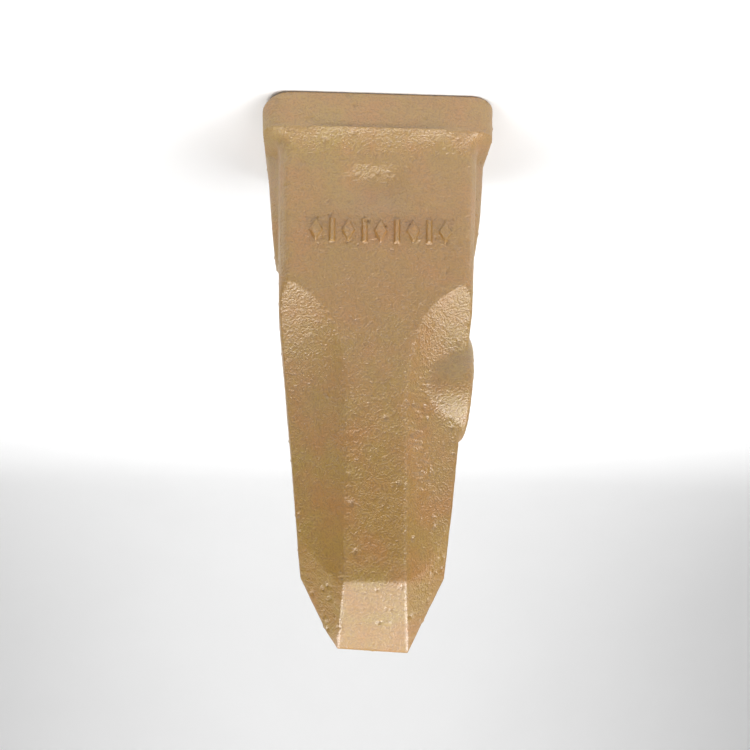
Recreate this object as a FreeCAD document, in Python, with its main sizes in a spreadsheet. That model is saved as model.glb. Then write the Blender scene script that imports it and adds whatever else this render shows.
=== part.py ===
import FreeCAD, Part
import math
import os

import Sketcher
from FreeCAD import Placement, Rotation, Vector

# Excavator bucket tooth with its retaining pin and retainer, in millimetres.
# The tooth stands on the rim of its socket with the tip up: +Z runs from the rim to the tip,
# +X across the tooth along the pin, and the marked face looks towards -Y.
# The origin is the middle of the rim.

doc = FreeCAD.newDocument("bucket_tooth")

# ---------------------------------------------------------------- driving dimensions
DRIVING = {
    "tooth_length": 408.0,       # rim to tip
    "waist_height": 160.0,       # where the side walls start to close in
    "mid_half_rim": 79.6,        # half widths of the body at its parting plane
    "mid_half_waist": 74.7,
    "mid_half_shoulder": 53.0,
    "shoulder_height": 355.0,    # where the side bevels of the tip start
    "tip_half_width": 25.2,
    "tip_half_depth": 9.5,
    "face_half_rim": 77.5,       # half depths of the body, front face to back face
    "face_half_facet": 35.4,
    "facet_height": 360.0,       # where the front facet of the tip starts
    "side_draft": 2.6,           # degrees, casting draft of the side walls
    "body_corner": 13.6,         # corner radius of the body in plan
    "collar_half_width": 88.7,
    "collar_half_depth": 80.4,
    "collar_height": 28.4,
    "collar_step": 8.5,          # height of the sloping step above the collar
    "collar_sink": 0.8,          # how far the collar's narrow ends lie inside the body
    "collar_corner": 19.6,
    "ear_radius": 43.0,          # raised ears round the pin bore, size at their root
    "ear_root": 76.0,            # where that root is, along X
    "ear_spread": 1.3,           # how fast the ear walls spread towards the root
    "ear_start": 20.0,           # the ears start inside the collar
    "ear_face_rim": 89.2,        # ear face carried down to the rim's plane
    "ear_face_fall": 0.094,      # how fast the ear face leans in towards the tip
    "ear_rounding": 10.0,        # rounding of the ear face's edge
    "pin_height": 72.0,
    "pin_radius": 16.0,
    "pin_clearance": 0.5,
    "pin_half_length": 80.0,
    "pin_chamfer": 3.0,
    "groove_radius": 13.0,
    "groove_centre": 47.0,       # along X
    "groove_half_width": 5.0,
    "ring_half_width": 4.5,
    "ring_clearance": 0.3,
    "ring_steel_radius": 19.5,
    "ring_rubber_radius": 27.0,
    "ring_gap_angle": 70.0,
    "socket_half_width": 63.0,   # at the mouth
    "socket_half_depth": 53.0,
    "socket_end_width": 45.0,    # half sizes at the blind end
    "socket_end_depth": 21.0,
    "socket_length": 186.0,
    "socket_corner": 12.0,
    "rib_half_width": 22.0,      # flat middle rib between the two scoops of a face
    "scoop_slope": 45.0,         # degrees, fall of the scooped flank beside the rib
    "scoop_hollow": 85.0,        # radius of the hollow flank, which levels off outwards
    "scoop_start": 228.0,        # where the scoop stops running level with the rib
    "scoop_radius": 150.0,       # run-out radius of the scoop towards the rim
    "scoop_turn": 45.0,          # degrees of that run-out
    "flank_meet_height": 316.0,  # where flank, side wall and tip facet meet
    "flank_meet_width": 55.8,
    "facet_cutter": 100.0,       # half size of the block that cuts a slanted tip facet
    "stub_height": 210.5,        # feeder stub left on one side by the foundry
    "stub_radius": 40.5,
    "stub_face": 72.8,           # its cut face at that height, along X
    "stub_face_fall": 0.085,     # how fast that face leans in towards the tip
    "stub_edge": 3.0,
    "brow_height": 56.0,         # low raised brow above the collar
    "brow_offset": 4.5,
    "brow_half_length": 20.0,
    "brow_half_height": 6.5,
    "relief": 1.6,               # how far brow and marks stand out of the face
    "mark_height": 106.0,        # middle of the row of foundry marks
    "mark_tall": 18.0,
    "mark_wide": 10.0,
    "mark_stroke": 4.0,
    "mark_pitch": 24.0,
    "mark_row_start": -50.0,
    "rim_edge": 2.5,             # rounding of the rim's outer edge
    "bore_edge": 1.5,            # chamfer of the pin bore in the ear faces
    "overrun": 12.0,             # how far cutting shapes reach past the metal
}

sheet = doc.addObject("Spreadsheet::Sheet", "Dimensions")
for row, (alias, number) in enumerate(DRIVING.items(), start=1):
    sheet.set("A%d" % row, alias)
    sheet.set("B%d" % row, str(number))
    sheet.setAlias("B%d" % row, alias)
doc.recompute()


class Size:
    """A size kept as a number and as the sheet formula that gives it."""

    def __init__(self, number, formula):
        self.number = float(number)
        self.formula = formula

    def __add__(self, other):
        other = as_size(other)
        return Size(self.number + other.number, "(%s + %s)" % (self.formula, other.formula))

    def __radd__(self, other):
        return as_size(other) + self

    def __sub__(self, other):
        other = as_size(other)
        return Size(self.number - other.number, "(%s - %s)" % (self.formula, other.formula))

    def __rsub__(self, other):
        return as_size(other) - self

    def __mul__(self, other):
        other = as_size(other)
        return Size(self.number * other.number, "(%s * %s)" % (self.formula, other.formula))

    def __rmul__(self, other):
        return as_size(other) * self

    def __truediv__(self, other):
        other = as_size(other)
        return Size(self.number / other.number, "(%s / %s)" % (self.formula, other.formula))

    def __neg__(self):
        return Size(-self.number, "(-1 * %s)" % self.formula)


def as_size(value):
    return value if isinstance(value, Size) else Size(value, "%.9g" % value)


def cell(alias):
    return Size(DRIVING[alias], "Dimensions." + alias)


def sine(angle):
    return Size(math.sin(math.radians(angle.number)), "sin(%s * 1deg)" % angle.formula)


def cosine(angle):
    return Size(math.cos(math.radians(angle.number)), "cos(%s * 1deg)" % angle.formula)


# ---------------------------------------------------------------- sizes worked out from them
NOTHING = Size(0, "0")
NEAR = 0.1  # how close to a surface the middle of an edge counts as lying on it
FACE_FALL = (cell("face_half_rim") - cell("face_half_facet")) / cell("facet_height")
FACE_ANGLE = math.degrees(math.atan(FACE_FALL.number))
SHOULDER_FALL = ((cell("mid_half_waist") - cell("mid_half_shoulder"))
                 / (cell("shoulder_height") - cell("waist_height")))
CORE_TOP = cell("tooth_length") + cell("overrun")
SCOOP_REACH = cell("scoop_hollow") * sine(cell("scoop_slope"))
SCOOP_CENTRE = cell("scoop_hollow") * cosine(cell("scoop_slope"))


def face_depth(height):
    """Half depth of the body at a height: its front face is at -Y of this."""
    return cell("face_half_rim") - FACE_FALL * height


def mid_width(height):
    """Half width of the body at its parting plane, above the waist."""
    return cell("mid_half_waist") - SHOULDER_FALL * (height - cell("waist_height"))


# ---------------------------------------------------------------- sketches and features
def new_body(label):
    body = doc.addObject("PartDesign::Body", label)
    body.Label = label
    return body


def origin_plane(body, role):
    return [feature for feature in body.Origin.OriginFeatures if feature.Role == role][0]


def new_sketch(body, name, plane, offset=None):
    """Empty sketch on one of the body's origin planes, moved off it by a placement."""
    sketch = body.newObject("Sketcher::SketchObject", name)
    sketch.AttachmentSupport = [(origin_plane(body, plane), "")]
    sketch.MapMode = "FlatFace"
    if isinstance(offset, Size):
        sketch.setExpression("AttachmentOffset.Base.z", offset.formula)
    elif offset is not None:
        sketch.AttachmentOffset = offset
    return sketch


def bind(sketch, kind, *place_and_size):
    """Adds a dimension to a sketch and ties it to its sheet formula."""
    *place, size = place_and_size
    size = as_size(size)
    index = sketch.addConstraint(Sketcher.Constraint(kind, *place, size.number))
    sketch.setExpression("Constraints[%d]" % index, size.formula)


def bind_angle(sketch, line, angle):
    """Fixes a line's direction, in degrees from the sketch's first axis."""
    angle = as_size(angle)
    radians = math.radians(angle.number)
    index = sketch.addConstraint(Sketcher.Constraint("Angle", line, radians))
    sketch.setExpression("Constraints[%d]" % index, angle.formula)


def pin_point(sketch, geometry, point, across, along):
    """Fixes a point of the sketch at two sizes from the sketch's origin."""
    bind(sketch, "DistanceX", -1, 1, geometry, point, across)
    bind(sketch, "DistanceY", -1, 1, geometry, point, along)


def polygon(sketch, corners):
    """Closed straight-sided outline; each corner is a pair of sizes."""
    corners = [(as_size(across), as_size(along)) for across, along in corners]
    spots = [Vector(across.number, along.number, 0) for across, along in corners]
    first = sketch.GeometryCount
    count = len(spots)
    for index in range(count):
        sketch.addGeometry(Part.LineSegment(spots[index], spots[(index + 1) % count]))
    for index in range(count):
        following = first + (index + 1) % count
        sketch.addConstraint(Sketcher.Constraint("Coincident", first + index, 2, following, 1))
    for index, (across, along) in enumerate(corners):
        pin_point(sketch, first + index, 1, across, along)
    return sketch


def circle(sketch, across, along, radius):
    across, along, radius = as_size(across), as_size(along), as_size(radius)
    middle = Vector(across.number, along.number, 0)
    index = sketch.addGeometry(Part.Circle(middle, Vector(0, 0, 1), radius.number))
    pin_point(sketch, index, 3, across, along)
    bind(sketch, "Radius", index, radius)
    return sketch


def round_corner(before, corner, after, radius):
    """Tangent points and middle of the arc that rounds a corner."""
    inward = (before - corner).normalize()
    outward = (after - corner).normalize()
    half_angle = inward.getAngle(outward) / 2
    reach = radius / math.tan(half_angle)
    middle = corner + (inward + outward).normalize() * (radius / math.sin(half_angle))
    start = corner + inward * reach
    end = corner + outward * reach
    crown = middle + (corner - middle).normalize() * radius
    return start, crown, end


def plan_section(body, name, height, half_width, half_depth, draft, radius):
    """Horizontal section of the tooth: widest at its middle, four round corners.

    The walls lean in by the draft from the parting plane to the front and back faces.
    """
    sketch = new_sketch(body, name, "XY_Plane", height)
    lean = math.tan(math.radians(draft.number)) * half_depth.number
    wide, deep = half_width.number, half_depth.number
    rim = [Vector(wide, 0, 0), Vector(wide - lean, deep, 0), Vector(lean - wide, deep, 0),
           Vector(-wide, 0, 0), Vector(lean - wide, -deep, 0), Vector(wide - lean, -deep, 0)]
    corners = {index: round_corner(rim[index - 1], rim[index], rim[(index + 1) % 6], radius.number)
               for index in (1, 2, 4, 5)}
    walls = []
    for index in range(6):
        following = (index + 1) % 6
        start = corners[index][2] if index in corners else rim[index]
        end = corners[following][0] if following in corners else rim[following]
        walls.append(sketch.addGeometry(Part.LineSegment(start, end)))
    for index, (start, crown, end) in corners.items():
        arc = sketch.addGeometry(Part.Arc(start, crown, end))
        for wall, wall_end in ((walls[index - 1], 2), (walls[index], 1)):
            spot = sketch.getPoint(wall, wall_end)
            arc_end = 1 if spot.distanceToPoint(sketch.getPoint(arc, 1)) < 1e-6 else 2
            sketch.addConstraint(Sketcher.Constraint("Tangent", wall, wall_end, arc, arc_end))
        bind(sketch, "Radius", arc, radius)
    for index, sign in ((0, 1), (3, -1)):
        sketch.addConstraint(Sketcher.Constraint("Coincident", walls[index - 1], 2, walls[index], 1))
        pin_point(sketch, walls[index], 1, half_width * sign, 0)
    for index, sign in ((1, 1), (4, -1)):
        sketch.addConstraint(Sketcher.Constraint("Horizontal", walls[index]))
        bind(sketch, "DistanceY", -1, 1, walls[index], 1, half_depth * sign)
    for index, sign, quarter in ((0, 1, 90), (2, -1, -90), (3, 1, -90), (5, -1, 90)):
        bind_angle(sketch, walls[index], quarter + sign * draft)
    return sketch


def set_up(result, settings):
    """Gives a feature its settings, ties its sizes to the sheet and recomputes it."""
    for key, value in settings.items():
        if isinstance(value, Size):
            result.setExpression(key, value.formula)
        else:
            setattr(result, key, value)
    doc.recompute()
    if "Invalid" in result.State or result.Shape.isNull():
        raise ValueError(result.Label + " failed: " + result.getStatusString())
    return result


def feature(body, kind, name, profile, **settings):
    result = body.newObject("PartDesign::" + kind, name)
    result.Profile = profile
    profile.Visibility = False
    return set_up(result, settings)


def dress(body, kind, name, edges, **settings):
    """Fillet or chamfer on named edges of the body as it is so far."""
    base = body.Tip
    result = body.newObject("PartDesign::" + kind, name)
    result.Base = (base, edges)
    return set_up(result, settings)


def cut(body, kind, name, profile, **settings):
    """A feature that takes metal away; stops if it took none."""
    before = body.Tip.Shape.Volume
    result = feature(body, kind, name, profile, **settings)
    if result.Shape.Volume > before - 1.0:
        raise ValueError(name + " cuts nothing")
    return result


def loft(body, name, sections, kind="AdditiveLoft"):
    return feature(body, kind, name, sections[0], Sections=sections[1:], Ruled=True)


def edges_where(shape, test):
    """Names of the edges of a shape whose middle point and edge pass a test."""
    names = []
    for index, edge in enumerate(shape.Edges, start=1):
        middle = edge.valueAt((edge.FirstParameter + edge.LastParameter) / 2)
        if test(edge, middle):
            names.append("Edge%d" % index)
    return names


def wedge(body, name, plane, corners):
    """Takes away a straight-sided prism, drawn on a plane and cut right through."""
    sketch = polygon(new_sketch(body, name + "_outline", plane), corners)
    return cut(body, "Pocket", name, sketch, Type="ThroughAll", Midplane=True)


# ---------------------------------------------------------------- tooth casting
def body_core(body):
    """Long tapered block with a soft waist, from the rim to past the tip."""
    heights = (NOTHING, cell("waist_height"), CORE_TOP)
    widths = (cell("mid_half_rim"), cell("mid_half_waist"), mid_width(CORE_TOP))
    sections = [plan_section(body, name, height, width, face_depth(height),
                             cell("side_draft"), cell("body_corner"))
                for name, height, width in zip(("core_rim", "core_waist", "core_top"),
                                               heights, widths)]
    loft(body, "core", sections)


def ear_outline(body, name, side, across):
    """Upright tombstone shape round the pin bore, smaller the further out it is."""
    radius = cell("ear_radius") + cell("ear_spread") * (cell("ear_root") - across)
    sketch = new_sketch(body, name, "YZ_Plane", across * side)
    foot, crown = cell("ear_start"), cell("pin_height")
    spots = [Vector(radius.number, crown.number, 0), Vector(-radius.number, crown.number, 0),
             Vector(-radius.number, foot.number, 0), Vector(radius.number, foot.number, 0)]
    top = Vector(0, crown.number + radius.number, 0)
    arc = sketch.addGeometry(Part.Arc(spots[0], top, spots[1]))
    lines = [sketch.addGeometry(Part.LineSegment(start, end))
             for start, end in zip(spots[1:], spots[2:] + spots[:1])]
    joins = ((arc, 2, lines[0], 1), (lines[0], 2, lines[1], 1), (lines[1], 2, lines[2], 1),
             (lines[2], 2, arc, 1))
    for join in joins:
        sketch.addConstraint(Sketcher.Constraint("Coincident", *join))
    pin_point(sketch, arc, 3, 0, crown)
    pin_point(sketch, lines[0], 1, -radius, crown)
    pin_point(sketch, lines[1], 1, -radius, foot)
    pin_point(sketch, lines[2], 1, radius, foot)
    bind(sketch, "DistanceY", -1, 1, arc, 1, crown)
    return sketch


def ears(body):
    """Raised pads on both side walls that carry the pin, with faces that lean inwards."""
    root = cell("ear_root") - cell("overrun")
    out = cell("ear_root") + cell("overrun") + cell("ear_rounding")
    high = cell("pin_height") + cell("ear_radius") + cell("overrun")
    for name, side in (("left", -1), ("right", 1)):
        sections = [ear_outline(body, name + "_ear_root", side, root),
                    ear_outline(body, name + "_ear_out", side, out)]
        loft(body, name + "_ear", sections)
        low_face = cell("ear_face_rim") * side
        high_face = (cell("ear_face_rim") - cell("ear_face_fall") * high) * side
        outside = (cell("ear_face_rim") + cell("overrun") + cell("ear_rounding")) * side
        wedge(body, name + "_ear_face", "XZ_Plane",
              [(low_face, 0), (high_face, high), (outside, high), (outside, 0)])
        rims = edges_where(body.Tip.Shape, lambda edge, spot: (
            abs(spot.x * side - cell("ear_face_rim").number
                + cell("ear_face_fall").number * spot.z) < NEAR
            and spot.z > cell("ear_start").number + NEAR))
        dress(body, "Fillet", name + "_ear_rounding", rims, Radius=cell("ear_rounding"))


def collar(body):
    """Thick band round the rim, with a sloping step up to it from the body."""
    top = cell("collar_height") + cell("collar_step")
    sink = cell("collar_sink")
    wide, deep = cell("collar_half_width"), cell("collar_half_depth")
    sections = [
        plan_section(body, "collar_rim", NOTHING, wide, deep, NOTHING, cell("collar_corner")),
        plan_section(body, "collar_band", cell("collar_height"), wide - sink,
                     deep - cell("collar_height") * FACE_FALL / 2, NOTHING,
                     cell("collar_corner")),
        plan_section(body, "collar_foot", top, cell("ear_root") - sink,
                     face_depth(top) - sink, cell("side_draft"), cell("body_corner")),
    ]
    loft(body, "collar", sections)


def scoop_fall(out):
    """How far the scooped flank lies below the face, by the distance out from the rib."""
    across = SCOOP_REACH.number - out
    return math.sqrt(cell("scoop_hollow").number ** 2 - across ** 2) - SCOOP_CENTRE.number


def scoop_profile(body, name, side, face):
    """Cross-section of one scoop above the tip: a hollow flank falling from rib to side."""
    rib, depth = cell("rib_half_width"), face_depth(CORE_TOP)
    lead = cell("overrun") / 2
    lead_rise = lead * SCOOP_REACH / SCOOP_CENTRE
    floor = cell("scoop_hollow") - SCOOP_CENTRE
    outer = cell("collar_half_width") + cell("overrun") - rib
    clear = cell("scoop_radius") / 2

    def spot(out, drop):
        return ((rib + out) * side, (depth - drop) * face)

    corners = [spot(-lead, -clear), spot(-lead, -lead_rise), spot(0, 0),
               spot(SCOOP_REACH, floor), spot(outer, floor), spot(outer, -clear)]
    corners = [(as_size(across), as_size(along)) for across, along in corners]
    spots = [Vector(across.number, along.number, 0) for across, along in corners]
    middle_out = SCOOP_REACH.number / 2
    middle_across, middle_along = spot(middle_out, scoop_fall(middle_out))
    middle = Vector(middle_across.number, middle_along.number, 0)
    sketch = new_sketch(body, name, "XY_Plane", CORE_TOP)
    for index, start in enumerate(spots):
        end = spots[(index + 1) % len(spots)]
        edge = Part.Arc(start, middle, end) if index == 2 else Part.LineSegment(start, end)
        sketch.addGeometry(edge)
    flank_ends = [1 if sketch.getPoint(2, 1).distanceToPoint(spots[2]) < 1e-6 else 2]
    flank_ends.append(3 - flank_ends[0])
    starts = [(0, 1), (1, 1), (2, flank_ends[0]), (3, 1), (4, 1), (5, 1)]
    ends = [(0, 2), (1, 2), (2, flank_ends[1]), (3, 2), (4, 2), (5, 2)]
    for end, start in zip(ends, starts[1:] + starts[:1]):
        sketch.addConstraint(Sketcher.Constraint("Coincident", *end, *start))
    for start, corner in zip(starts, corners):
        pin_point(sketch, *start, *corner)
    bind(sketch, "Radius", 2, cell("scoop_hollow"))
    return sketch


def scoop_spine(body, name, face):
    """Path of a scoop: level with the face from the tip, then out through it in an arc."""
    start = Vector(face_depth(CORE_TOP).number * face, CORE_TOP.number, 0)
    bend = Vector(face_depth(cell("scoop_start")).number * face, cell("scoop_start").number, 0)
    along = (bend - start).normalize()
    outward = Vector(-along.y, along.x, 0)
    if outward.x * face < 0:
        outward = outward * -1
    radius = cell("scoop_radius").number

    def on_arc(degrees):
        turn = math.radians(degrees)
        return bend + outward * (radius * (1 - math.cos(turn))) + along * (radius * math.sin(turn))

    turn = cell("scoop_turn").number
    sketch = new_sketch(body, name, "YZ_Plane")
    line = sketch.addGeometry(Part.LineSegment(start, bend))
    arc = sketch.addGeometry(Part.Arc(bend, on_arc(turn / 2), on_arc(turn)))
    near = 1 if sketch.getPoint(arc, 1).distanceToPoint(bend) < 1e-6 else 2
    sketch.addConstraint(Sketcher.Constraint("Tangent", line, 2, arc, near))
    pin_point(sketch, line, 1, face_depth(CORE_TOP) * face, CORE_TOP)
    pin_point(sketch, line, 2, face_depth(cell("scoop_start")) * face, cell("scoop_start"))
    bind(sketch, "Radius", arc, cell("scoop_radius"))
    return sketch


def scoops(body):
    """Four long scoops, two on each face, that leave a flat rib down the middle."""
    for face_name, face in (("front", -1), ("back", 1)):
        for side_name, side in (("left", -1), ("right", 1)):
            name = face_name + "_" + side_name + "_scoop"
            profile = scoop_profile(body, name + "_profile", side, face)
            spine = scoop_spine(body, name + "_path", face)
            cut(body, "SubtractivePipe", name, profile, Spine=(spine, ["Edge1", "Edge2"]))
            spine.Visibility = False


def tip_bevels(body):
    """Front and back facets, side bevels and the blunt end of the chisel tip."""
    length = cell("tooth_length")
    top = CORE_TOP + 1
    past = cell("collar_half_width") + cell("overrun")
    planes = (("YZ_Plane", "facet", "face_half_facet", "tip_half_depth", "facet_height"),
              ("XZ_Plane", "bevel", "mid_half_shoulder", "tip_half_width", "shoulder_height"))
    for plane, name, wide_cell, narrow_cell, start_cell in planes:
        wide, narrow, start = cell(wide_cell), cell(narrow_cell), cell(start_cell)
        fall = (wide - narrow) / (length - start)
        inner = narrow - fall * (top - length)
        for side_name, side in (("low", -1), ("high", 1)):
            wedge(body, side_name + "_" + name, plane,
                  [(inner * side, top), (wide * side, start), (past * side, start),
                   (past * side, top)])
    wedge(body, "blunt_end", "XZ_Plane",
          [(-past, length), (past, length), (past, top), (-past, top)])


def side_facets(body):
    """Four slanted facets of the tip, between its front and back facets and its sides."""
    flank_out = cell("flank_meet_width") - cell("rib_half_width")
    flank_meet_depth = face_depth(cell("flank_meet_height")) - scoop_fall(flank_out.number)
    reach = cell("facet_cutter")
    for face_name, face in (("front", -1), ("back", 1)):
        for side_name, side in (("left", -1), ("right", 1)):

            def spot(across, deep, height):
                return Vector(side * across.number, face * deep.number, height.number)

            rib_end = spot(cell("rib_half_width"), cell("face_half_facet"), cell("facet_height"))
            tip_corner = spot(cell("tip_half_width"), cell("tip_half_depth"),
                              cell("tooth_length"))
            flank_meet = spot(cell("flank_meet_width"), flank_meet_depth,
                              cell("flank_meet_height"))
            outward = (flank_meet - rib_end).cross(tip_corner - rib_end).normalize()
            outward = outward * math.copysign(1, outward.z)
            plane = Placement(rib_end, Rotation(Vector(0, 0, 1), outward))
            name = face_name + "_" + side_name + "_side_facet"
            sketch = polygon(new_sketch(body, name + "_outline", "XY_Plane", plane),
                             [(-reach, -reach), (reach, -reach), (reach, reach),
                              (-reach, reach)])
            cut(body, "Pocket", name, sketch, Length=reach, Reversed=True)


def feeder_stub(body):
    """Round stub on the -X side, where the foundry cut the feeder off."""
    middle, radius = cell("stub_height"), cell("stub_radius")
    inside = -cell("rib_half_width")
    length = cell("stub_face") + cell("overrun") - cell("rib_half_width")
    sketch = circle(new_sketch(body, "stub_outline", "YZ_Plane", inside), 0, middle, radius)
    feature(body, "Pad", "stub", sketch, Length=length, Reversed=True)
    low, high = middle - radius - cell("overrun"), middle + radius + cell("overrun")
    outside = -(cell("stub_face") + cell("overrun"))

    def face_at(height):
        return -(cell("stub_face") - cell("stub_face_fall") * (height - middle))

    wedge(body, "stub_face_cut", "XZ_Plane",
          [(face_at(low), low), (face_at(high), high), (outside, high), (outside, low)])
    rims = edges_where(body.Tip.Shape, lambda edge, spot: (
        abs(spot.x - face_at(as_size(spot.z)).number) < NEAR
        and abs(math.hypot(spot.y, spot.z - middle.number) - radius.number) < NEAR))
    dress(body, "Fillet", "stub_edge", rims, Radius=cell("stub_edge"))


def face_plane():
    """Placement of the sloping front face, as an offset from the XZ plane."""
    return Placement(Vector(0, 0, cell("face_half_rim").number),
                     Rotation(Vector(1, 0, 0), -FACE_ANGLE))


def raise_on_face(body, name, sketch):
    return feature(body, "Pad", name, sketch, Length=cell("relief") * 2, Midplane=True)


def repeat_across(body, name, original, sketch, count):
    pattern = body.newObject("PartDesign::LinearPattern", name)
    pattern.Originals = [original]
    pattern.Direction = (sketch, ["H_Axis"])
    pattern.setExpression("Length", (cell("mark_pitch") * (count - 1)).formula)
    pattern.Occurrences = count
    body.Tip = pattern
    doc.recompute()


def face_marks(body):
    """Low brow above the collar, and a row of plain foundry marks: bars and lozenges."""
    brow = new_sketch(body, "brow_outline", "XZ_Plane", face_plane())
    middle = Vector(cell("brow_offset").number, cell("brow_height").number, 0)
    long_end = middle + Vector(cell("brow_half_length").number, 0, 0)
    short_end = middle + Vector(0, cell("brow_half_height").number, 0)
    ellipse = brow.addGeometry(Part.Ellipse(long_end, short_end, middle))
    brow.addConstraint(Sketcher.Constraint("Block", ellipse))
    raise_on_face(body, "brow", brow)
    height, start = cell("mark_height"), cell("mark_row_start")
    tall, wide, stroke = cell("mark_tall") / 2, cell("mark_wide") / 2, cell("mark_stroke") / 2
    lozenge = polygon(new_sketch(body, "lozenge_outline", "XZ_Plane", face_plane()),
                      [(start - wide, height), (start, height - tall), (start + wide, height),
                       (start, height + tall)])
    repeat_across(body, "lozenges", raise_on_face(body, "lozenge", lozenge), lozenge, 5)
    start = start + cell("mark_pitch") / 2
    bar = polygon(new_sketch(body, "bar_outline", "XZ_Plane", face_plane()),
                  [(start - stroke, height - tall), (start + stroke, height - tall),
                   (start + stroke, height + tall), (start - stroke, height + tall)])
    repeat_across(body, "bars", raise_on_face(body, "bar", bar), bar, 4)


def socket(body):
    """Blind tapered pocket for the adapter's nose, open at the rim."""
    length = cell("socket_length")
    width_fall = (cell("socket_half_width") - cell("socket_end_width")) / length
    depth_fall = (cell("socket_half_depth") - cell("socket_end_depth")) / length
    sections = []
    for name, height in (("socket_mouth", -cell("overrun")), ("socket_end", length)):
        sections.append(plan_section(
            body, name, height, cell("socket_half_width") - width_fall * height,
            cell("socket_half_depth") - depth_fall * height, NOTHING,
            cell("socket_corner")))
    cut(body, "SubtractiveLoft", "socket", sections[0], Sections=sections[1:], Ruled=True)


def pin_bore(body):
    sketch = circle(new_sketch(body, "bore_outline", "YZ_Plane"), 0, cell("pin_height"),
                    cell("pin_radius") + cell("pin_clearance"))
    cut(body, "Pocket", "pin_bore", sketch, Type="ThroughAll", Midplane=True)


def edge_finish(body):
    """Rounded outer edge of the rim, and a lead-in chamfer where the bore meets the ears."""
    collar_out = cell("collar_half_width").number - cell("collar_corner").number
    rim_names = edges_where(body.Tip.Shape, lambda edge, spot: (
        abs(spot.z) < NEAR and max(abs(spot.x), abs(spot.y)) > collar_out))
    dress(body, "Fillet", "rim_rounding", rim_names, Radius=cell("rim_edge"))
    bore = (cell("pin_radius") + cell("pin_clearance")).number
    bore_names = edges_where(body.Tip.Shape, lambda edge, spot: (
        abs(spot.x) > cell("ear_root").number
        and abs(math.hypot(spot.y, spot.z - cell("pin_height").number) - bore) < NEAR
        and edge.BoundBox.YLength > bore))
    dress(body, "Chamfer", "bore_lead", bore_names, Size=cell("bore_edge"))


def tooth_casting():
    body = new_body("tooth_casting")
    body_core(body)
    ears(body)
    collar(body)
    scoops(body)
    tip_bevels(body)
    side_facets(body)
    feeder_stub(body)
    face_marks(body)
    socket(body)
    pin_bore(body)
    edge_finish(body)
    return body


# ---------------------------------------------------------------- pin and retainer
def retaining_pin():
    """Straight steel pin across the socket, with one groove for the retainer."""
    body = new_body("retaining_pin")
    at_bore = Placement(Vector(0, cell("pin_height").number, 0), Rotation())
    sketch = new_sketch(body, "pin_profile", "XZ_Plane", at_bore)
    sketch.setExpression("AttachmentOffset.Base.y", cell("pin_height").formula)
    half, radius, groove = cell("pin_half_length"), cell("pin_radius"), cell("groove_radius")
    chamfer = cell("pin_chamfer")
    step = radius - groove
    low = cell("groove_centre") - cell("groove_half_width")
    high = cell("groove_centre") + cell("groove_half_width")
    polygon(sketch, [(-half, 0), (-half, radius - chamfer), (chamfer - half, radius),
                     (low - step, radius), (low, groove), (high, groove), (high + step, radius),
                     (half - chamfer, radius), (half, radius - chamfer), (half, 0)])
    feature(body, "Revolution", "pin", sketch, ReferenceAxis=(sketch, ["H_Axis"]), Angle=360)
    return body


def split_ring(label, inner, outer):
    """Ring round the pin's groove with a gap at the top, so that it clips over the pin sideways."""
    body = new_body(label)
    start_face = cell("groove_centre") - cell("ring_half_width")
    sketch = new_sketch(body, label + "_outline", "YZ_Plane", start_face)
    middle = Vector(0, cell("pin_height").number, 0)
    half_gap = cell("ring_gap_angle").number / 2
    low, high = math.radians(90 + half_gap), math.radians(450 - half_gap)
    upright = Vector(0, 0, 1)
    arcs = [sketch.addGeometry(Part.ArcOfCircle(Part.Circle(middle, upright, radius.number),
                                                low, high)) for radius in (inner, outer)]
    ends = [(sketch.getPoint(arcs[0], end), sketch.getPoint(arcs[1], end)) for end in (1, 2)]
    lines = [sketch.addGeometry(Part.LineSegment(near, far)) for near, far in ends]
    for arc, line_end in zip(arcs, (1, 2)):
        for line, arc_end in zip(lines, (1, 2)):
            sketch.addConstraint(Sketcher.Constraint("Coincident", line, line_end, arc, arc_end))
    for arc, radius in zip(arcs, (inner, outer)):
        bind(sketch, "Radius", arc, radius)
        pin_point(sketch, arc, 3, 0, cell("pin_height"))
    for line, side in zip(lines, (1, -1)):
        bind_angle(sketch, line, 90 + side * cell("ring_gap_angle") / 2)
    feature(body, "Pad", label + "_ring", sketch, Length=cell("ring_half_width") * 2)
    return body


def write_parts(bodies):
    """Stops at the first failed object or shape, then writes one file per piece."""
    doc.recompute()
    for item in doc.Objects:
        if "Invalid" in item.State or "Error" in item.State:
            raise ValueError(item.Label + " failed: " + str(item.State))
    for body in bodies:
        shape = body.Shape
        if shape.isNull() or not shape.isValid() or len(shape.Solids) != 1:
            raise ValueError(body.Label + " is not one valid solid")
        print("%s: %.1f cm3" % (body.Label, shape.Volume / 1000))
    os.makedirs("parts", exist_ok=True)
    for body in bodies:
        body.Shape.exportStep("parts/%s.step" % body.Label)


write_parts([
    tooth_casting(),
    retaining_pin(),
    split_ring("retainer_split_ring", cell("groove_radius") + cell("ring_clearance"),
               cell("ring_steel_radius")),
    split_ring("retainer_rubber", cell("ring_steel_radius"), cell("ring_rubber_radius")),
])
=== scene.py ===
import math

import bmesh
import bpy
import numpy as np
from mathutils import Matrix, Vector
from mathutils.kdtree import KDTree


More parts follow.
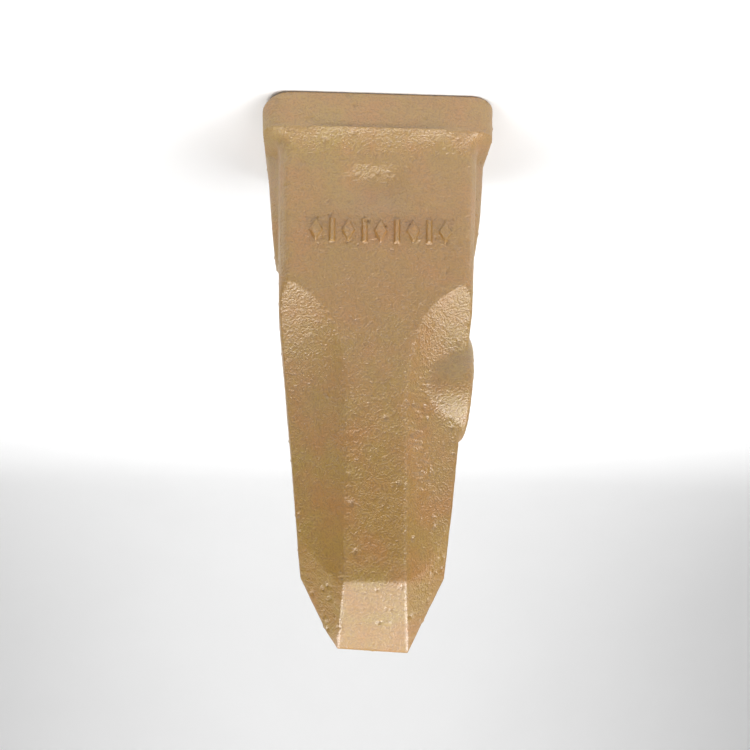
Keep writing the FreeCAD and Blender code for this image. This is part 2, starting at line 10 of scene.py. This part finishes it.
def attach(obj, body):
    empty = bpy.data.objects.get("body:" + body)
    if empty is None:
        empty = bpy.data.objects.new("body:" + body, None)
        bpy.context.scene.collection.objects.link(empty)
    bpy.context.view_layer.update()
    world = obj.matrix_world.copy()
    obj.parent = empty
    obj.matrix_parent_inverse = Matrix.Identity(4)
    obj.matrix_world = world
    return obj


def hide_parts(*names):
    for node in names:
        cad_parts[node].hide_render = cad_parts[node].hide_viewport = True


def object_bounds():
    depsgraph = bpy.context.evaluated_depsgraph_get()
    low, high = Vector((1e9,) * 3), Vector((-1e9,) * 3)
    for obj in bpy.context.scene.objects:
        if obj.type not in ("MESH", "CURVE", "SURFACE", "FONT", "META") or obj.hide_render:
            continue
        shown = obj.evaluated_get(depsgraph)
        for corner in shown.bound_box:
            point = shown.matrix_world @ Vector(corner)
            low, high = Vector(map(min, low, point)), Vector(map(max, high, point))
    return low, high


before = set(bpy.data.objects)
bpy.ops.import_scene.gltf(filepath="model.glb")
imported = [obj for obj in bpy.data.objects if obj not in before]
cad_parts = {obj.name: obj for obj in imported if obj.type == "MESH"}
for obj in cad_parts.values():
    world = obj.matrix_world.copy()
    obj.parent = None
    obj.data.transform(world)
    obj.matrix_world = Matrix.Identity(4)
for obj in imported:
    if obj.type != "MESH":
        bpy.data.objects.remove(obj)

CAD_LOW, CAD_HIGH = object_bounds()

SEED = 4107

# ---------------------------------------------------------------- sizes, in metres
# The tooth's own shape, repeated from the CAD model.
TOOTH_LENGTH = 0.408
FACE_DEPTH_RIM = 0.0775          # half depth of the body at the rim
FACE_FALL = 0.11694              # how fast the front face closes in towards the tip
STEP_TOP = 0.0284                # height at which the collar's step leaves the collar
WAIST_HEIGHT = 0.160
PIN_HEIGHT = 0.072
BORE_RADIUS = 0.0165
STUB_MIDDLE = (0.0, 0.2105)      # Y and Z of the feeder stub's axis
STUB_RADIUS = 0.0405
STUB_FACE = 0.0728               # how far the stub's cut face stands out
RIB_HALF = 0.022                 # half width of the flat middle rib
RIB_START, RIB_END = 0.19, 0.345
MARK_HEIGHT = 0.106              # middle of the row of foundry marks
MARK_START = -0.050
MARK_PITCH = 0.024
MARK_TALL = 0.018
LOZENGE_WIDE = 0.010
LOZENGES = 5                     # with a bar in each of the gaps between them
BAR_WIDE = 0.0040

# The cast surface, which the CAD model has in plain form only.
MESH_SIZE = 0.0012               # side of the even mesh's quads
FRONT = -0.058                   # the front face and what stands on it is at lower Y
MARK_RELIEF = 0.0026
STEP_RISE = 0.0068               # how far the collar stands proud of the face there
STEP_LENGTH = 0.0215
STEP_WANDER = 0.0012
BROW_MIDDLE = 0.0035             # the brow is the lower edge of a shallow hollow
BROW_HALF = 0.031
BROW_EDGE = 0.0550
BROW_FALL = 0.0170
BROW_WANDER = 0.0024             # how far its edge strays up and down
HOLLOW_END = 0.096
HOLLOW_DEPTH = 0.0052
CORNER_START = 0.060
CORNER_WEAR = 0.0060
GROOVE_PITCH = 0.0046            # of the torch's drag lines on the stub
GROOVE_DEPTH = 0.00035
GROOVE_SWAY = 0.0030
WRINKLE_MIDDLE = -0.0335         # the wrinkled flank is on the stub's side
WRINKLE_START, WRINKLE_END = 0.206, 0.292
TIP_START = 0.335                # the tip's bevels keep crisper edges than the rest
TIP_SLANT = 0.06                 # slope of the worn tip edge
TIP_HALF = 0.025                 # half width of that edge
TIP_WORN = 0.016                 # how far down the tip the wear reaches

# Bands of height: where each starts, is full, is last full, and ends.
STEP_FOOT = (0.031, 0.035, 0.042, 0.052)
COLLAR_SHOULDER = (0.027, 0.030, 0.050, 0.056)
MARKED_FACE = (0.0450, 0.0475, 0.122, 0.126)
BROW_SKIN = (0.045, 0.048, 0.074, 0.080)

# Unevenness of the sand mould: wavelength and amplitude, broad dents first.
SKIN = ((0.055, 0.00045), (0.017, 0.00016), (0.0070, 0.00007), (0.0032, 0.00009))

# Pits and beads: how many, their radii, and their rise for each unit of radius.
PITS = (760, (0.0014, 0.0030), (-0.42, -0.18))
BEADS = (640, (0.0010, 0.0024), (0.16, 0.34))
RIB_NICKS = (46, (0.0010, 0.0024), (-0.30, 0.30))
RIM_NOTCHES = (30, (0.0016, 0.0036), (-0.42, -0.20))

# ---------------------------------------------------------------- light and camera settings
LIGHT_AIM = Vector((0.0, 0.0, 0.2))
ROOM_LIGHT = 0.03
SOFTBOX_SIZE = 0.9
SOFTBOX_DISTANCE = 2.0
CAMERA_AZIMUTH = 2.77            # degrees
CAMERA_ELEVATION = 15.05
CAMERA_ROLL = 0.24
CAMERA_DISTANCE = 0.78134
CAMERA_TARGET = Vector((-0.00131, 0.0, 0.1993))
CAMERA_SENSOR = 36.0             # millimetres, as is the lens
CAMERA_LENS = 48.09


# ---------------------------------------------------------------- small helpers
def smoothstep(low, high, value):
    """0 at low, 1 at high and beyond; low may be the larger of the two."""
    share = np.clip((value - low) / (high - low), 0.0, 1.0)
    return share * share * (3.0 - 2.0 * share)


def band(value, start, full, last, end):
    """1 from full to last, fading to 0 at start and at end."""
    return smoothstep(start, full, value) * smoothstep(end, last, value)


def lattice_noise(points, wavelength, seed):
    """Smooth random field from -1 to 1 with one value per lattice point."""
    size = 48
    table = np.random.default_rng(seed).uniform(-1.0, 1.0, (size, size, size))
    places = points / wavelength + 1000.0
    cells = np.floor(places).astype(int)
    share = places - cells
    share = share * share * (3.0 - 2.0 * share)
    total = np.zeros(len(points))
    for dx in (0, 1):
        for dy in (0, 1):
            for dz in (0, 1):
                weight = (np.abs(1 - dx - share[:, 0]) * np.abs(1 - dy - share[:, 1])
                          * np.abs(1 - dz - share[:, 2]))
                corner = (cells + (dx, dy, dz)) % size
                total += weight * table[corner[:, 0], corner[:, 1], corner[:, 2]]
    return total


def from_axis(points, centre):
    """Distance from an axis along X, given by its Y and Z."""
    return np.hypot(points[:, 1] - centre[0], points[:, 2] - centre[1])


def link(obj):
    bpy.context.scene.collection.objects.link(obj)
    return obj


def positions(mesh):
    flat = np.empty(len(mesh.vertices) * 3, dtype=np.float32)
    mesh.vertices.foreach_get("co", flat)
    return flat.reshape(-1, 3).astype(np.float64)


def normals(mesh):
    flat = np.empty(len(mesh.vertices) * 3, dtype=np.float32)
    mesh.vertices.foreach_get("normal", flat)
    return flat.reshape(-1, 3).astype(np.float64)


def set_positions(mesh, points):
    mesh.vertices.foreach_set("co", points.astype(np.float32).ravel())
    mesh.update()


def neighbour_mean(mesh):
    """Returns a function that gives each vertex the mean of its neighbours."""
    ends = np.empty(len(mesh.edges) * 2, dtype=np.int32)
    mesh.edges.foreach_get("vertices", ends)
    first, second = ends[0::2], ends[1::2]
    count = len(mesh.vertices)
    valence = np.bincount(first, minlength=count) + np.bincount(second, minlength=count)
    valence = np.maximum(valence, 1)[:, None]

    def mean(points):
        total = np.empty_like(points)
        for axis in range(3):
            total[:, axis] = (np.bincount(first, points[second, axis], count)
                              + np.bincount(second, points[first, axis], count))
        return total / valence

    return mean


def soften(mesh, weight, rounds):
    """Rounds edges by moving each vertex towards its neighbours, weight by vertex."""
    points = positions(mesh)
    mean = neighbour_mean(mesh)
    step = 0.5 * weight[:, None]
    for _ in range(rounds):
        points += (mean(points) - points) * step
    set_positions(mesh, points)


# ---------------------------------------------------------------- materials
class Nodes:
    """A few short words for building a material's node tree."""

    def __init__(self, name):
        self.material = bpy.data.materials.new(name)
        self.material.use_nodes = True
        self.tree = self.material.node_tree
        self.shader = self.tree.nodes["Principled BSDF"]
        self.place = self.add("ShaderNodeTexCoord").outputs["Object"]

    def add(self, kind, **inputs):
        node = self.tree.nodes.new(kind)
        for name, value in inputs.items():
            self.put(node, name.replace("_", " "), value)
        return node

    def put(self, node, name, value):
        if isinstance(value, bpy.types.NodeSocket):
            self.tree.links.new(value, node.inputs[name])
        else:
            node.inputs[name].default_value = value

    def noise(self, per_metre, detail=4.0, roughness=0.55, stretch=None):
        place = self.place
        if stretch:
            mapping = self.add("ShaderNodeMapping", Vector=place)
            mapping.inputs["Scale"].default_value = stretch
            place = mapping.outputs["Vector"]
        node = self.add("ShaderNodeTexNoise", Vector=place, Scale=per_metre, Detail=detail,
                        Roughness=roughness)
        return node.outputs["Fac"]

    def ramp(self, value, *stops):
        """Maps a 0 to 1 value through stops of (place, grey level)."""
        node = self.add("ShaderNodeValToRGB", Fac=value)
        ramp = node.color_ramp
        while len(ramp.elements) < len(stops):
            ramp.elements.new(0.5)
        for element, (place, level) in zip(ramp.elements, stops):
            element.position = place
            element.color = (level, level, level, 1.0)
        return node.outputs["Color"]

    def mix(self, share, first, second):
        """Blends two colours, each a tuple or a socket."""
        node = self.tree.nodes.new("ShaderNodeMix")
        node.data_type = "RGBA"
        for socket, value in ((node.inputs[0], share), (node.inputs[6], first),
                              (node.inputs[7], second)):
            if isinstance(value, bpy.types.NodeSocket):
                self.tree.links.new(value, socket)
            elif isinstance(value, tuple):
                socket.default_value = (*value, 1.0)
            else:
                socket.default_value = value
        return node.outputs[2]

    def maths(self, kind, first, second):
        node = self.tree.nodes.new("ShaderNodeMath")
        node.operation = kind
        for socket, value in zip(node.inputs, (first, second)):
            if isinstance(value, bpy.types.NodeSocket):
                self.tree.links.new(value, socket)
            else:
                socket.default_value = value
        return node.outputs[0]

    def bump(self, height, distance, strength, after=None):
        node = self.add("ShaderNodeBump", Height=height, Strength=strength, Distance=distance)
        if after is not None:
            self.tree.links.new(after, node.inputs["Normal"])
        return node.outputs["Normal"]

    def finish(self, **sockets):
        for name, value in sockets.items():
            self.put(self.shader, name.replace("_", " "), value)
        return self.material


def paint_on_casting():
    """Tan-gold shop paint over sand-cast steel: uneven colour, grain, painted shade in the
    hollows, and lighter edges that are partly wear, partly a painted highlight.
    """
    m = Nodes("tan_gold_paint")
    broad = m.noise(9.0, detail=3.0)
    patches = m.noise(38.0, detail=5.0, roughness=0.6)
    fine = m.noise(660.0, detail=2.0)
    coarse = m.noise(290.0, detail=2.0)
    colour = m.mix(m.ramp(broad, (0.35, 0.0), (0.65, 1.0)), (0.350, 0.168, 0.002),
                   (0.350, 0.200, 0.001))
    colour = m.mix(m.ramp(patches, (0.42, 0.0), (0.66, 0.75)), colour, (0.405, 0.158, 0.006))
    colour = m.mix(m.ramp(fine, (0.36, 0.70), (0.56, 0.0)), colour, (0.250, 0.112, 0.001))
    edges = m.add("ShaderNodeNewGeometry").outputs["Pointiness"]
    # Lighter tan on sharp edges: partly paint wear, partly a painted highlight along the
    # outlines.
    wear_and_highlight = m.ramp(edges, (0.54, 0.0), (0.62, 0.12))
    colour = m.mix(wear_and_highlight, colour, (0.500, 0.290, 0.040))
    # Painted shade: darker brown where the surface is concave, standing in for the shade in the
    # hollows.
    hollow = m.ramp(edges, (0.44, 0.5), (0.49, 0.0))
    colour = m.mix(hollow, colour, (0.210, 0.092, 0.003))
    rough = m.maths("ADD", m.maths("MULTIPLY", m.noise(130.0, detail=4.0), 0.14), 0.36)
    height = m.add("ShaderNodeSeparateXYZ", Vector=m.place).outputs["Z"]
    sand = m.ramp(m.maths("MULTIPLY", height, 2.0), (0.40, 1.0), (0.66, 0.45))
    grain = m.bump(fine, 0.00100, sand)
    lumps = m.bump(coarse, 0.00045, sand, after=grain)
    return m.finish(Base_Color=colour, Roughness=rough, Normal=lumps, Metallic=0.0,
                    Specular_IOR_Level=0.87, IOR=1.9)


def turned_steel():
    """Heat-treated pin steel: dull grey with turning marks, oil stain and a little rust."""
    m = Nodes("turned_pin_steel")
    stain = m.noise(60.0, detail=6.0, roughness=0.65)
    colour = m.mix(m.ramp(stain, (0.35, 0.0), (0.70, 1.0)), (0.300, 0.292, 0.285),
                   (0.135, 0.125, 0.118))
    rust = m.ramp(m.noise(140.0, detail=8.0, roughness=0.7), (0.58, 0.0), (0.72, 0.7))
    colour = m.mix(rust, colour, (0.190, 0.078, 0.030))
    marks = m.noise(900.0, detail=2.0, stretch=(1.0, 0.02, 0.02))
    rough = m.maths("ADD", m.maths("MULTIPLY", stain, 0.35), 0.24)
    return m.finish(Base_Color=colour, Roughness=rough, Metallic=0.9,
                    Normal=m.bump(marks, 0.00006, 0.5))


def blackened_spring_steel():
    m = Nodes("oil_blackened_steel")
    bloom = m.noise(220.0, detail=5.0)
    colour = m.mix(m.ramp(bloom, (0.4, 0.0), (0.7, 1.0)), (0.045, 0.045, 0.050),
                   (0.110, 0.100, 0.092))
    rough = m.maths("ADD", m.maths("MULTIPLY", bloom, 0.3), 0.25)
    return m.finish(Base_Color=colour, Roughness=rough, Metallic=0.8,
                    Normal=m.bump(m.noise(1500.0), 0.00004, 0.5))


def moulded_rubber():
    m = Nodes("moulded_rubber")
    dust = m.noise(160.0, detail=6.0, roughness=0.7)
    colour = m.mix(m.ramp(dust, (0.45, 0.0), (0.75, 0.8)), (0.016, 0.016, 0.017),
                   (0.060, 0.055, 0.048))
    return m.finish(Base_Color=colour, Roughness=0.72,
                    Normal=m.bump(m.noise(1800.0), 0.00005, 0.6))


def pale_stage():
    """Pale floor, grey in front of the tooth, where it would only throw glare on the paint."""
    grey_from, fade = 0.75, 0.45
    m = Nodes("pale_floor")
    near = m.add("ShaderNodeSeparateXYZ", Vector=m.place).outputs["Y"]
    colour = m.mix(m.noise(3.0, detail=2.0), (0.86, 0.86, 0.86), (0.90, 0.90, 0.90))
    shade = m.ramp(m.maths("ADD", near, grey_from), (0.0, 1.0), (fade, 0.0))
    colour = m.mix(shade, colour, (0.12, 0.12, 0.12))
    return m.finish(Base_Color=colour, Roughness=0.9)


# ---------------------------------------------------------------- cast surface
def remeshed_copy(node, name, voxel):
    """A new object with the CAD node's shape, rebuilt as an even mesh of small quads."""
    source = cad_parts[node]
    obj = link(bpy.data.objects.new(name, source.data.copy()))
    modifier = obj.modifiers.new("even_mesh", "REMESH")
    modifier.mode = "VOXEL"
    modifier.voxel_size = voxel
    modifier.use_smooth_shade = True
    graph = bpy.context.evaluated_depsgraph_get()
    mesh = bpy.data.meshes.new_from_object(obj.evaluated_get(graph))
    obj.modifiers.clear()
    obj.data = mesh
    mesh.materials.clear()
    return obj


def face_distance(points):
    """How far each point stands behind the sloping front face."""
    return points[:, 1] + FACE_DEPTH_RIM - FACE_FALL * points[:, 2]


def on_finer_face(place):
    """Whether a place is where the marks or the brow need a finer mesh."""
    beside_marks = abs(place.x) < 0.060 and 0.092 < place.z < 0.120
    beside_brow = abs(place.x) < 0.036 and 0.048 < place.z < 0.072
    return place.y < -0.060 and (beside_marks or beside_brow)


def refine_marked_face(mesh):
    """Splits the quads of the front face where the marks and the brow stand."""
    work = bmesh.new()
    work.from_mesh(mesh)
    inside = [edge for edge in work.edges
              if all(on_finer_face(vertex.co) for vertex in edge.verts)]
    bmesh.ops.subdivide_edges(work, edges=inside, cuts=1, use_grid_fill=True)
    work.to_mesh(mesh)
    work.free()


def marks_relief(points):
    """Height of the plain foundry marks over the front face, by vertex."""
    across, up = points[:, 0], points[:, 2]
    height = np.zeros(len(points))
    tall = MARK_TALL / 2
    for index in range(LOZENGES):
        middle = MARK_START + index * MARK_PITCH
        half = LOZENGE_WIDE / 2
        reach = 1.0 - np.abs(across - middle) / half - np.abs(up - MARK_HEIGHT) / tall
        height = np.maximum(height, MARK_RELIEF * smoothstep(-0.06, 0.20, reach))
    for index in range(LOZENGES - 1):
        middle = MARK_START + (index + 0.5) * MARK_PITCH
        side = BAR_WIDE / 2 - np.abs(across - middle)
        end = tall - np.abs(up - MARK_HEIGHT)
        reach = np.minimum(side, end)
        height = np.maximum(height, MARK_RELIEF * smoothstep(-0.0005, 0.0010, reach))
    return height


def brow_hollow(points):
    """Shallow hollow in the face: a soft, uneven lower edge and a long gentle run-out."""
    wander = BROW_WANDER * lattice_noise(points * (1.0, 0.0, 0.0), 0.0085, SEED + 5)
    fall = np.clip((points[:, 2] + wander - BROW_EDGE) / BROW_FALL, 0.0, 1.0)
    run_out = smoothstep(HOLLOW_END, BROW_EDGE + BROW_FALL, points[:, 2])
    ends = smoothstep(BROW_HALF, 0.15 * BROW_HALF, np.abs(points[:, 0] - BROW_MIDDLE))
    return -HOLLOW_DEPTH * smoothstep(0.0, 1.0, fall ** 0.75) * run_out * ends


def step_blend(points):
    """Stock that turns the collar's step into one long fillet up the front face."""
    behind = face_distance(points)
    uneven = STEP_WANDER * lattice_noise(points, 0.010, SEED + 7)
    fall = np.clip((points[:, 2] + uneven - STEP_TOP) / STEP_LENGTH, 0.0, 1.0)
    missing = np.maximum(STEP_RISE * (1.0 - fall) ** 2 + behind, 0.0)
    return missing * smoothstep(0.0060, 0.0, behind) * (points[:, 2] > STEP_TOP)


def speckle(points, seeds, count, radius, rise):
    """Heights of small beads and pits round seeded vertices; a negative rise is a pit."""
    chance = np.random.default_rng(SEED + count)
    tree = KDTree(len(points))
    for index, point in enumerate(points):
        tree.insert(point, index)
    tree.balance()
    height = np.zeros(len(points))
    for centre in chance.choice(seeds, count, replace=len(seeds) < count):
        reach = chance.uniform(*radius)
        lift = chance.uniform(*rise) * reach
        for _, index, away in tree.find_range(points[centre], reach):
            share = 1.0 - away / reach
            height[index] += lift * share * share * (3.0 - 2.0 * share)
    return height


def ripples(points):
    """Short level wrinkles down the flank on the feeder's side, where the sand sagged."""
    chance = np.random.default_rng(SEED + 11)
    height = np.zeros(len(points))
    level = WRINKLE_START
    while level < WRINKLE_END:
        middle = WRINKLE_MIDDLE + chance.uniform(-0.004, 0.004)
        half = chance.uniform(0.0035, 0.0090)
        thick = chance.uniform(0.0010, 0.0013)
        tilt = chance.uniform(-0.08, 0.08)
        across = (points[:, 0] - middle) / half
        up = (points[:, 2] - level - tilt * (points[:, 0] - middle)) / thick
        bump = smoothstep(1.0, 0.5, np.abs(across)) * np.exp(-up * up)
        height += bump * chance.uniform(0.00045, 0.00085) * (points[:, 1] < 0)
        level += chance.uniform(0.0024, 0.0052)
    return height


def cast_skin(points):
    """Unevenness of the sand mould at several scales, from broad dents to single grains."""
    return sum(lattice_noise(points, wavelength, SEED + index) * amplitude
               for index, (wavelength, amplitude) in enumerate(SKIN))


def cut_grooves(points):
    """Drag lines that the cutting torch left across the stub's face."""
    away = from_axis(points, STUB_MIDDLE)
    on_face = (smoothstep(STUB_RADIUS - 0.002, STUB_RADIUS - 0.005, away)
               * (points[:, 0] < 0.004 - STUB_FACE))
    sway = GROOVE_SWAY * lattice_noise(points, 0.020, SEED + 6)
    wave = np.sin(2.0 * math.pi * (points[:, 1] + sway) / GROOVE_PITCH)
    return GROOVE_DEPTH * wave * on_face


def worn_corner(points):
    """How far the rim is rubbed away upwards at its outer corner on the +X side of the front."""
    outward = np.clip((points[:, 0] - CORNER_START) / (CAD_HIGH[0] - CORNER_START), 0.0, 1.0)
    return (CORNER_WEAR * outward ** 2.2 * smoothstep(0.026, 0.0, points[:, 2])
            * smoothstep(-0.010, -0.070, points[:, 1]))


def soften_edges(mesh):
    """Rounds the casting's edges, more at the collar's step, the stub's root and the waist."""
    points = positions(mesh)
    bore = from_axis(points, (0.0, PIN_HEIGHT))
    crisp = (bore < BORE_RADIUS + 0.002) | (points[:, 2] > TIP_START)
    soften(mesh, np.where(crisp, 0.3, 1.0), rounds=5)
    points = positions(mesh)
    step_foot = band(points[:, 2], *STEP_FOOT) * (bore > BORE_RADIUS + 0.006)
    from_root = np.abs(from_axis(points, STUB_MIDDLE) - STUB_RADIUS)
    stub_root = smoothstep(0.014, 0.007, from_root) * (points[:, 0] < -0.02)
    from_waist = np.abs(points[:, 2] - WAIST_HEIGHT)
    waist = smoothstep(0.03, 0.0, from_waist) * (np.abs(points[:, 0]) > 0.06)
    soften(mesh, np.clip(step_foot + stub_root + waist, 0.0, 1.0), rounds=16)


def lay_step_fillet(mesh):
    """Adds the long fillet of the collar's step, run out softly at both ends."""
    points = positions(mesh)
    front = points[:, 1] < FRONT
    points[:, 1] -= step_blend(points) * front
    set_positions(mesh, points)
    ends = smoothstep(0.042, 0.068, np.abs(points[:, 0]))
    soften(mesh, band(points[:, 2], *COLLAR_SHOULDER) * ends * front, rounds=36)


def flatten_marked_face(mesh):
    """Levels the middle of the front face and returns how far each vertex belongs to it."""
    points = positions(mesh)
    marked = (smoothstep(0.066, 0.062, np.abs(points[:, 0])) * (points[:, 1] < FRONT)
              * band(points[:, 2], *MARKED_FACE))
    points[:, 1] -= face_distance(points) * marked
    set_positions(mesh, points)
    soften(mesh, marked, rounds=8)
    return marked


def speckles(points):
    """Pits and beads all over, nicks along the rib's +X edge and notches in the rim."""
    across, away, up = points[:, 0], points[:, 1], points[:, 2]
    anywhere = np.arange(len(points))
    rib_edge = np.flatnonzero((np.abs(across - RIB_HALF) < 0.0022) & (away < -0.02)
                              & (up > RIB_START) & (up < RIB_END))
    rim_edge = np.flatnonzero((up < 0.003) & (away < -0.070))
    return (speckle(points, anywhere, *PITS) + speckle(points, anywhere, *BEADS)
            + speckle(points, rib_edge, *RIB_NICKS) + speckle(points, rim_edge, *RIM_NOTCHES))


def cast_surface(mesh):
    """Softens the edges and gives the skin the unevenness of a sand casting."""
    soften_edges(mesh)
    refine_marked_face(mesh)
    front = positions(mesh)[:, 1] < FRONT
    lay_step_fillet(mesh)
    marked = flatten_marked_face(mesh)

    points = positions(mesh)
    skin = smoothstep(0.0004, 0.004, points[:, 2])
    height = cast_skin(points) + ripples(points) + cut_grooves(points) + speckles(points)
    height = height * skin + marks_relief(points) * marked + brow_hollow(points) * front
    points += normals(mesh) * height[:, None]
    points[:, 2] += worn_corner(points)
    set_positions(mesh, points)

    beside_brow = np.abs(points[:, 0] - BROW_MIDDLE) < BROW_HALF + 0.004
    soften(mesh, front * beside_brow * band(points[:, 2], *BROW_SKIN), rounds=4)
    points = positions(mesh)
    tip = smoothstep(TOOTH_LENGTH - TIP_WORN, TOOTH_LENGTH, points[:, 2])
    points[:, 2] -= tip * TIP_SLANT * np.clip(points[:, 0] + TIP_HALF, 0.0, 2 * TIP_HALF)
    set_positions(mesh, np.clip(points, tuple(CAD_LOW), tuple(CAD_HIGH)))
    mesh.polygons.foreach_set("use_smooth", [True] * len(mesh.polygons))


def build_tooth():
    tooth = remeshed_copy("tooth_casting", "cast_tooth", MESH_SIZE)
    cast_surface(tooth.data)
    tooth.data.materials.append(paint_on_casting())
    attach(tooth, "tooth")
    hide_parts("tooth_casting")


def dress_cad_nodes():
    finishes = {"retaining_pin": turned_steel(), "retainer_split_ring": blackened_spring_steel(),
                "retainer_rubber": moulded_rubber()}
    for node, material in finishes.items():
        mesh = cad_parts[node].data
        mesh.materials.clear()
        mesh.materials.append(material)


# ---------------------------------------------------------------- stage, light and camera
def build_stage():
    """Pale floor that curves up into a backdrop well behind the tooth."""
    half, depth, rise, bend, bend_steps = 4.0, 3.0, 4.0, 1.2, 12
    profile = [(-depth, 0.0)]
    for step in range(bend_steps + 1):
        turn = math.radians(90 * step / bend_steps)
        profile.append((depth - bend + bend * math.sin(turn), bend - bend * math.cos(turn)))
    profile.append((depth, rise))
    vertices = [(x, y, z) for y, z in profile for x in (-half, half)]
    faces = [(i, i + 1, i + 3, i + 2) for i in range(0, len(vertices) - 2, 2)]
    mesh = bpy.data.meshes.new("studio_floor")
    mesh.from_pydata(vertices, [], faces)
    mesh.polygons.foreach_set("use_smooth", [True] * len(mesh.polygons))
    mesh.materials.append(pale_stage())
    link(bpy.data.objects.new("studio_floor", mesh))


def direction(azimuth, elevation):
    """Unit vector, in degrees; azimuth 0 is in front of the tooth, positive towards +X."""
    turn, rise = math.radians(azimuth), math.radians(elevation)
    return Vector((math.sin(turn) * math.cos(rise), -math.cos(turn) * math.cos(rise),
                   math.sin(rise)))


def softbox(name, azimuth, elevation, radiance):
    """Square soft light aimed at the tooth."""
    place = LIGHT_AIM + direction(azimuth, elevation) * SOFTBOX_DISTANCE
    place_light(name, place, LIGHT_AIM, SOFTBOX_SIZE, radiance)


def place_light(name, place, aim, size, radiance):
    data = bpy.data.lights.new(name, "AREA")
    data.shape = "SQUARE"
    data.size = size
    data.energy = radiance * math.pi * size * size
    obj = link(bpy.data.objects.new(name, data))
    obj.location = place
    obj.rotation_euler = (aim - place).to_track_quat("-Z", "Y").to_euler()


def build_light():
    """Ring of softboxes: name, azimuth and elevation in degrees, and radiance."""
    world = bpy.data.worlds.new("soft_room")
    world.use_nodes = True
    background = world.node_tree.nodes["Background"]
    background.inputs["Color"].default_value = (1.0, 1.0, 1.0, 1.0)
    background.inputs["Strength"].default_value = ROOM_LIGHT
    bpy.context.scene.world = world
    softbox("front_high", 0, 50, 0.6)
    softbox("front_right", -35, 40, 5.3)
    softbox("front_left", 35, 40, 2.9)
    softbox("low_right", -65, 42, 3.8)
    softbox("side_right", -70, 55, 3.9)
    softbox("side_left", 66, 62, 6.4)
    softbox("top_right", -90, 62, 3.6)
    softbox("top_left", 90, 62, 4.5)
    softbox("back_right", -120, 30, 1.6)
    softbox("back_left", 120, 30, 1.3)
    place_light("backdrop_wash", Vector((0.0, 0.9, 1.8)), Vector((0.0, 2.9, 0.7)), 1.2, 5.0)


def build_camera():
    """View of the marked face from a little above level, turned upside down."""
    roll = math.radians(CAMERA_ROLL)
    back = direction(CAMERA_AZIMUTH, CAMERA_ELEVATION)
    right = (-back).cross(Vector((0, 0, 1))).normalized()
    up = right.cross(-back)
    picture_right = -(right * math.cos(roll) + up * math.sin(roll))
    picture_up = right * math.sin(roll) - up * math.cos(roll)
    data = bpy.data.cameras.new("camera")
    data.sensor_width = CAMERA_SENSOR
    data.lens = CAMERA_LENS
    data.clip_start = 0.05
    camera = link(bpy.data.objects.new("camera", data))
    turn = Matrix((picture_right, picture_up, back)).transposed()
    place = CAMERA_TARGET + back * CAMERA_DISTANCE
    camera.matrix_world = Matrix.Translation(place) @ turn.to_4x4()
    bpy.context.scene.camera = camera


build_camera()
build_stage()
build_light()
bpy.context.scene.view_settings.view_transform = "Standard"
build_tooth()
dress_cad_nodes()
